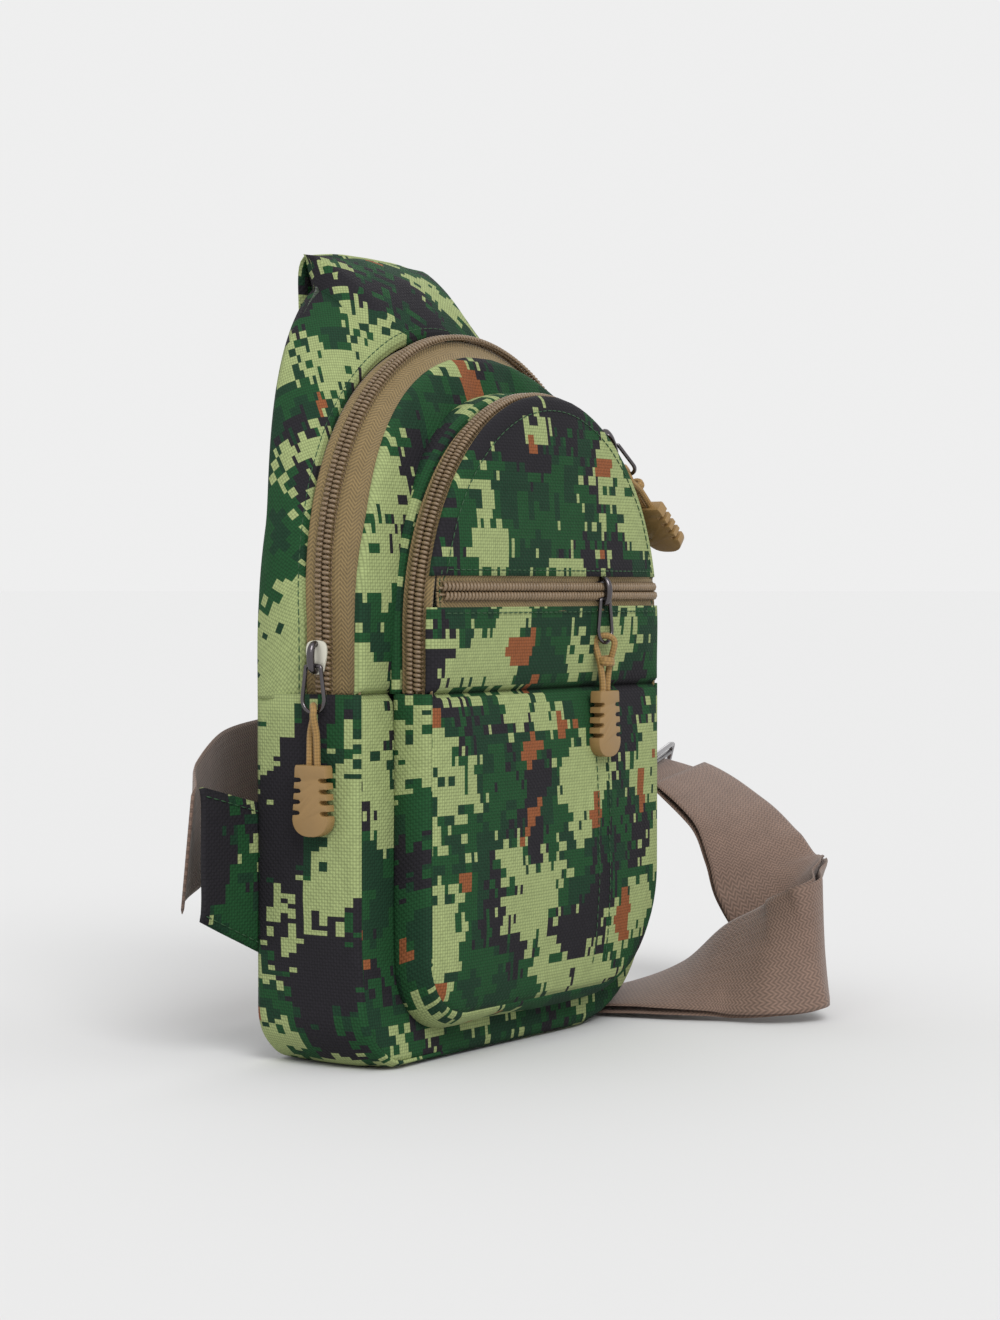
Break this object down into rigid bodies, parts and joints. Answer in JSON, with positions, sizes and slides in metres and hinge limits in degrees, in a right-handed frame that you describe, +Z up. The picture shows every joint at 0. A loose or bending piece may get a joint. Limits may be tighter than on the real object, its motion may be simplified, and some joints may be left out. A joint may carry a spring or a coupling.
{
  "type": "sling bag",
  "caption": "Teardrop sling bag in digital camouflage cloth with zipped main compartment, zipped front pocket, slip zip, cord pulls and a folded webbing shoulder strap.",
  "frame": {"origin": "centre of the flat base that the bag stands on", "axes": "+Z up, +Y out of the back panel towards the wearer, +X to the right seen from the front"},
  "size_m": [0.3119, 0.194, 0.3086],
  "materials": {
    "camo_fabric": "digital camouflage print on 600D woven polyester",
    "back_mesh": "padded woven back cloth",
    "foam": "soft closed-cell foam sheet",
    "lining": "thin coated lining cloth",
    "zip_tape": "tan herringbone zip tape",
    "zip_coil": "brown nylon coil",
    "slider_metal": "plated die-cast metal",
    "gunmetal": "dark plated metal",
    "pull_cord": "braided tan cord",
    "pull_tag": "soft moulded tag with grip notches",
    "webbing": "brown woven webbing"
  },
  "bodies": {
    "root": {"back_panel": "back_mesh", "back_foam": "foam", "upper_gusset": "camo_fabric", "lower_gusset": "camo_fabric", "front_panel_lower": "camo_fabric", "main_zip_tape_rear": "zip_tape", "main_zip_coil_rear": "zip_coil", "pocket_gusset_lower": "camo_fabric", "pocket_face_lower": "camo_fabric", "shoulder_pad": "camo_fabric", "pad_tab": "webbing", "strap_ring": "gunmetal", "strap_webbing_outer": "webbing", "strap_webbing_inner": "webbing", "tri_glide_frame": "slider_metal", "tri_glide_bar": "gunmetal", "left_wing": "camo_fabric"},
    "main_flap": {"front_panel_upper": "camo_fabric", "main_zip_tape_front": "zip_tape", "main_zip_coil_front": "zip_coil", "pocket_gusset_upper": "camo_fabric", "pocket_zip_tape_rear": "zip_tape", "pocket_zip_coil_rear": "zip_coil"},
    "pocket_flap": {"pocket_face_middle": "camo_fabric", "pocket_face_top": "camo_fabric", "pocket_zip_tape_front": "zip_tape", "pocket_zip_coil_front": "zip_coil", "slip_zip_tape_upper": "zip_tape", "slip_zip_tape_lower": "zip_tape", "slip_zip_coil_upper": "zip_coil", "slip_zip_coil_lower": "zip_coil", "slip_pocket_lining": "lining"},
    "main_slider": {"main_slider": "slider_metal", "main_bridge": "gunmetal"},
    "main_ring": {"main_ring": "gunmetal"},
    "main_pull": {"main_pull_cord": "pull_cord", "main_pull_tag": "pull_tag"},
    "pocket_slider": {"pocket_slider": "slider_metal", "pocket_bridge": "gunmetal"},
    "pocket_ring": {"pocket_ring": "gunmetal"},
    "pocket_pull": {"pocket_pull_cord": "pull_cord", "pocket_pull_tag": "pull_tag"},
    "slip_slider": {"slip_slider": "slider_metal", "slip_bridge": "gunmetal"},
    "slip_ring": {"slip_ring": "gunmetal"},
    "slip_pull": {"slip_pull_cord": "pull_cord", "slip_pull_tag": "pull_tag"}
  },
  "joints": [
    {"name": "main_flap_fold", "type": "hinge", "parent": "root", "child": "main_flap", "pos_m": [0, -0.0426, 0.137], "axis": [1, 0, 0], "range_deg": [0, 60]},
    {"name": "pocket_flap_fold", "type": "hinge", "parent": "main_flap", "child": "pocket_flap", "pos_m": [0, -0.0426, 0.137], "axis": [1, 0, 0], "range_deg": [0, 60]},
    {"name": "main_slider_travel", "type": "slide", "parent": "root", "child": "main_slider", "axis": [0, 0, 1], "range_m": [0, 0.022]},
    {"name": "pocket_slider_travel", "type": "hinge", "parent": "main_flap", "child": "pocket_slider", "pos_m": [-0.00443, -0.0345, 0.16837], "axis": [0, 1, 0], "range_deg": [-20, 20]},
    {"name": "slip_slider_travel", "type": "slide", "parent": "pocket_flap", "child": "slip_slider", "axis": [1, 0, 0], "range_m": [-0.092, 0.034]},
    {"name": "main_ring_swing", "type": "hinge", "parent": "main_slider", "child": "main_ring", "pos_m": [-0.1057, -0.0075, 0.14735], "axis": [0, 1, 0], "range_deg": [0, 120]},
    {"name": "main_pull_swing", "type": "hinge", "parent": "main_ring", "child": "main_pull", "pos_m": [-0.1057, -0.0075, 0.13035], "axis": [0, 1, 0], "range_deg": [0, 80]},
    {"name": "pocket_ring_swing", "type": "hinge", "parent": "pocket_slider", "child": "pocket_ring", "pos_m": [0.05594, -0.0345, 0.2332], "axis": [0, -1, 0], "range_deg": [0, 100]},
    {"name": "pocket_pull_swing", "type": "hinge", "parent": "pocket_ring", "child": "pocket_pull", "pos_m": [0.06879, -0.0345, 0.22206], "axis": [0, -1, 0], "range_deg": [0, 80]},
    {"name": "slip_ring_swing", "type": "hinge", "parent": "slip_slider", "child": "slip_ring", "pos_m": [0.03, -0.0477, 0.17135], "axis": [-1, 0, 0], "range_deg": [0, 60]},
    {"name": "slip_pull_swing", "type": "hinge", "parent": "slip_ring", "child": "slip_pull", "pos_m": [0.03, -0.0477, 0.15435], "axis": [-1, 0, 0], "range_deg": [0, 60]}
  ],
  "couplings": [
    {"joint": "slip_ring_swing", "follows": "main_flap_fold", "ratio": 1},
    {"joint": "slip_pull_swing", "follows": "pocket_flap_fold", "ratio": 1}
  ]
}
